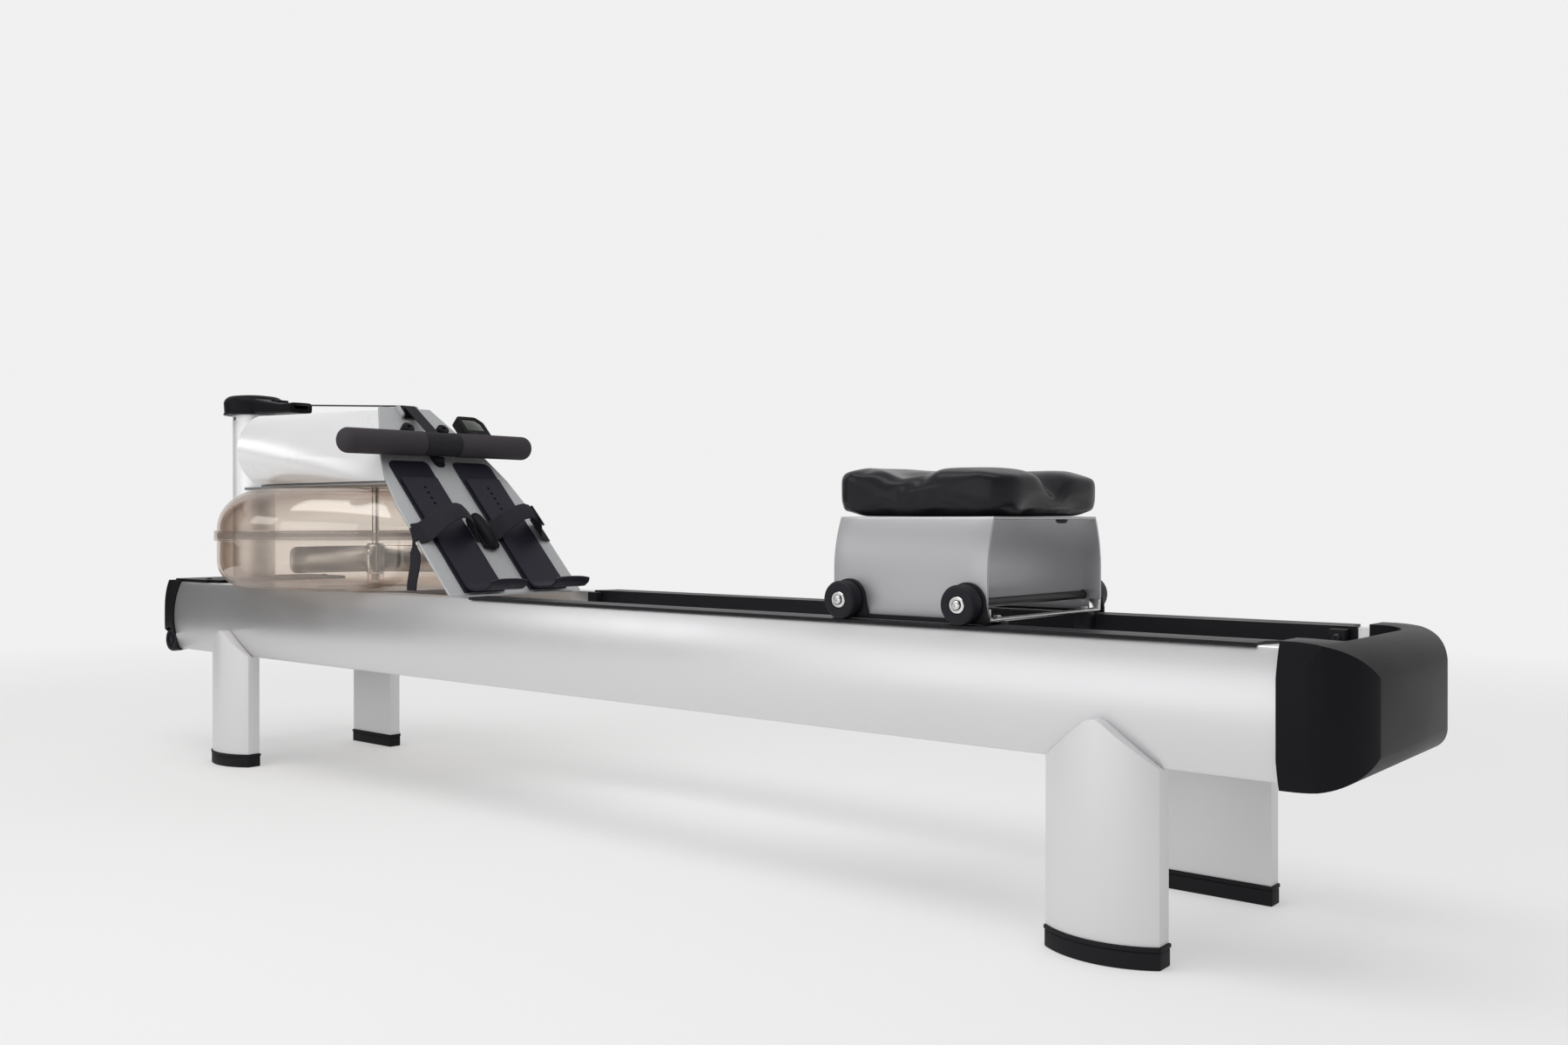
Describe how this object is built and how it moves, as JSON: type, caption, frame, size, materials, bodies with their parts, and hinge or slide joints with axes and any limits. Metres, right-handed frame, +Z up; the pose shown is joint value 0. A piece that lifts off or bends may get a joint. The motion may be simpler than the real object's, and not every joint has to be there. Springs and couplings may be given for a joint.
{
  "type": "rowing machine",
  "caption": "Water-resistance rowing machine with a clear tank under a metal hood, an inclined footboard, a sliding seat on two rails, and four short legs.",
  "frame": {"origin": "on the floor, under the middle of the machine's length and width", "axes": "+X along the rails towards the tail end; +Y to the side that carries the monitor; +Z up"},
  "size_m": [2.144, 0.513, 0.659],
  "materials": {
    "rails": "satin anodised extrusion",
    "frame": "silver powder coat",
    "tracks": "black nylon track",
    "feet": "moulded rubber",
    "bumper": "fine textured moulding",
    "tank": "smoky clear polycarbonate",
    "hood": "satin sheet",
    "board": "fine textured silver coat",
    "pads": "smooth rubber mat",
    "heels": "satin moulding",
    "webbing": "woven nylon webbing",
    "grips": "closed-cell foam sleeve",
    "bright": "zinc plated",
    "cushion": "glossy leatherette",
    "wheels": "polyurethane tread",
    "screen": "dark display window"
  },
  "bodies": {
    "frame": {"column_cap": "bumper", "deck_plate": "frame", "drive_strap": "webbing", "footboard": "board", "front_column": "rails", "front_cross_member": "frame", "front_end_cap": "bumper", "handle_rest": "tracks", "hood": "hood", "left_foot_pad": "pads", "left_foot_strap": "webbing", "left_front_foot": "feet", "left_front_leg": "rails", "left_rail": "rails", "left_rear_foot": "feet", "left_rear_leg": "rails", "left_track": "tracks", "middle_cross_member": "frame", "monitor_case": "bumper", "monitor_screen": "screen", "rear_cross_member": "frame", "right_foot_pad": "pads", "right_foot_strap": "webbing", "right_front_foot": "feet", "right_front_leg": "rails", "right_rail": "rails", "right_rear_foot": "feet", "right_rear_leg": "rails", "right_track": "tracks", "tail_bumper": "bumper", "tank_lower_shell": "tank", "tank_upper_shell": "tank"},
    "carriage": {"seat_arch": "frame", "seat_cushion": "cushion", "front_axle": "bright", "rear_axle": "bright", "front_tie_bar": "bright", "rear_tie_bar": "bright", "left_wheel_guard": "tracks", "right_wheel_guard": "tracks"},
    "handle": {"handle_bar": "bright", "left_grip": "grips", "right_grip": "grips", "handle_strap": "webbing"},
    "cap_pulley": {"cap_pulley": "tracks"},
    "guide_roller": {"guide_roller": "tracks"},
    "strap_drum": {"strap_drum": "tracks"},
    "impeller": {"impeller": "bright"},
    "transport_wheels": {"transport_wheelset": "wheels"},
    "monitor_button_1": {"monitor_button_1": "pads"},
    "monitor_button_2": {"monitor_button_2": "pads"},
    "left_front_seat_wheel": {"left_front_seat_wheel": "wheels"},
    "right_front_seat_wheel": {"right_front_seat_wheel": "wheels"},
    "left_rear_seat_wheel": {"left_rear_seat_wheel": "wheels"},
    "right_rear_seat_wheel": {"right_rear_seat_wheel": "wheels"},
    "left_heel_plate": {"left_heel_plate": "heels"},
    "right_heel_plate": {"right_heel_plate": "heels"}
  },
  "joints": [
    {"name": "seat_slide", "type": "slide", "parent": "frame", "child": "carriage", "axis": [1, 0, 0], "range_m": [-0.633, 0.27]},
    {"name": "left_front_seat_wheel_spin", "type": "hinge", "parent": "carriage", "child": "left_front_seat_wheel", "pos_m": [0.5033, -0.141, 0.3332], "axis": [0, 1, 0], "continuous": true},
    {"name": "right_front_seat_wheel_spin", "type": "hinge", "parent": "carriage", "child": "right_front_seat_wheel", "pos_m": [0.5033, 0.141, 0.3332], "axis": [0, 1, 0], "continuous": true},
    {"name": "left_rear_seat_wheel_spin", "type": "hinge", "parent": "carriage", "child": "left_rear_seat_wheel", "pos_m": [0.6587, -0.141, 0.3332], "axis": [0, 1, 0], "continuous": true},
    {"name": "right_rear_seat_wheel_spin", "type": "hinge", "parent": "carriage", "child": "right_rear_seat_wheel", "pos_m": [0.6587, 0.141, 0.3332], "axis": [0, 1, 0], "continuous": true},
    {"name": "handle_pull", "type": "slide", "parent": "frame", "child": "handle", "axis": [1, 0, 0], "range_m": [0, 1.2], "stiffness_N_per_m": 10, "springref_m": -1},
    {"name": "cap_pulley_spin", "type": "hinge", "parent": "frame", "child": "cap_pulley", "pos_m": [-1.018, 0, 0.612], "axis": [0, 1, 0], "continuous": true},
    {"name": "guide_roller_spin", "type": "hinge", "parent": "frame", "child": "guide_roller", "pos_m": [-0.52212, 0, 0.60094], "axis": [0, 1, 0], "continuous": true},
    {"name": "strap_drum_spin", "type": "hinge", "parent": "frame", "child": "strap_drum", "pos_m": [-0.616, 0, 0.575], "axis": [0, 0, 1], "continuous": true},
    {"name": "impeller_spin", "type": "hinge", "parent": "frame", "child": "impeller", "pos_m": [-0.616, 0, 0.36], "axis": [0, 0, 1], "continuous": true},
    {"name": "transport_spin", "type": "hinge", "parent": "frame", "child": "transport_wheels", "pos_m": [-1.041, 0, 0.203], "axis": [0, 1, 0], "continuous": true},
    {"name": "left_heel_slide", "type": "slide", "parent": "frame", "child": "left_heel_plate", "axis": [-0.703, 0, 0.7112], "range_m": [0, 0.036]},
    {"name": "right_heel_slide", "type": "slide", "parent": "frame", "child": "right_heel_plate", "axis": [-0.703, 0, 0.7112], "range_m": [0, 0.036]},
    {"name": "monitor_button_1_press", "type": "slide", "parent": "frame", "child": "monitor_button_1", "axis": [-0.7112, 0, -0.703], "range_m": [0, 0.0015], "stiffness_N_per_m": 300, "springref_m": -0.001},
    {"name": "monitor_button_2_press", "type": "slide", "parent": "frame", "child": "monitor_button_2", "axis": [-0.7112, 0, -0.703], "range_m": [0, 0.0015], "stiffness_N_per_m": 300, "springref_m": -0.001}
  ],
  "couplings": [
    {"joint": "left_front_seat_wheel_spin", "follows": "seat_slide", "rad_per_m": 47.619},
    {"joint": "right_front_seat_wheel_spin", "follows": "seat_slide", "rad_per_m": 47.619},
    {"joint": "left_rear_seat_wheel_spin", "follows": "seat_slide", "rad_per_m": 47.619},
    {"joint": "right_rear_seat_wheel_spin", "follows": "seat_slide", "rad_per_m": 47.619},
    {"joint": "cap_pulley_spin", "follows": "handle_pull", "rad_per_m": 34.364},
    {"joint": "guide_roller_spin", "follows": "handle_pull", "rad_per_m": 90.09},
    {"joint": "strap_drum_spin", "follows": "handle_pull", "rad_per_m": -28.49}
  ]
}
